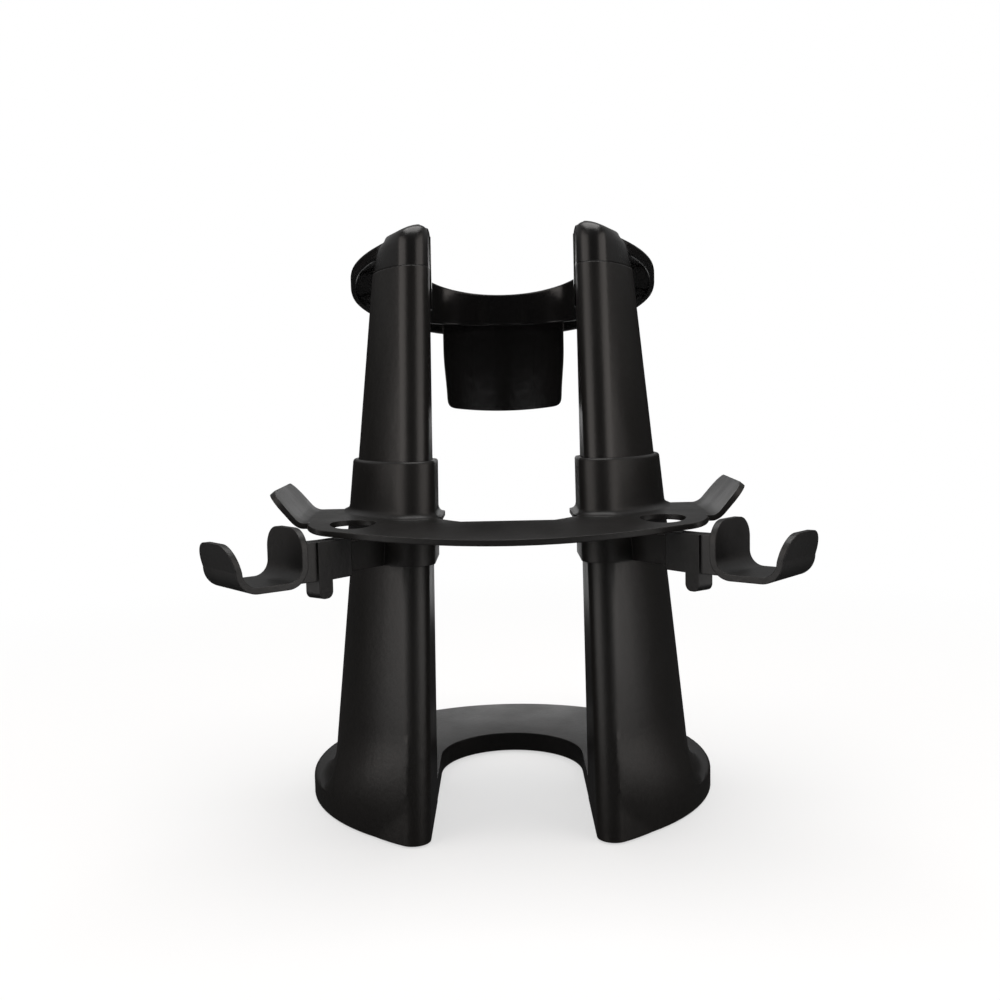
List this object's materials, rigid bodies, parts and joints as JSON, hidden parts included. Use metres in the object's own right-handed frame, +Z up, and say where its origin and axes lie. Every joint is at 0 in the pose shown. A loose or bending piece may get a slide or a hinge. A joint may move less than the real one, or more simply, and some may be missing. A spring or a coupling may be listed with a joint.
{
  "type": "virtual reality headset stand",
  "caption": "Table stand for a virtual reality headset: horseshoe base, tapered columns, a domed open-ring head saddle, and a brimmed middle tray with trough hooks for hand controllers.",
  "frame": {"origin": "floor point midway between the hook tips and the back of the base, on the mirror plane", "axes": "+X to the viewer's right, +Y to the back, +Z up"},
  "size_m": [0.2444, 0.2392, 0.2711],
  "materials": {
    "frame_black": "satin moulded",
    "tray_black": "satin moulded",
    "saddle_black": "semi-gloss moulded",
    "hook_black": "fine matte moulded",
    "pad_rubber": "matt"
  },
  "bodies": {
    "root": {"base_frame": "frame_black", "controller_tray": "tray_black", "headset_saddle": "saddle_black", "left_controller_hook": "hook_black", "right_controller_hook": "hook_black", "foot_pad_front_left": "pad_rubber", "foot_pad_front_right": "pad_rubber", "foot_pad_rear_left": "pad_rubber", "foot_pad_rear_right": "pad_rubber"}
  },
  "joints": []
}
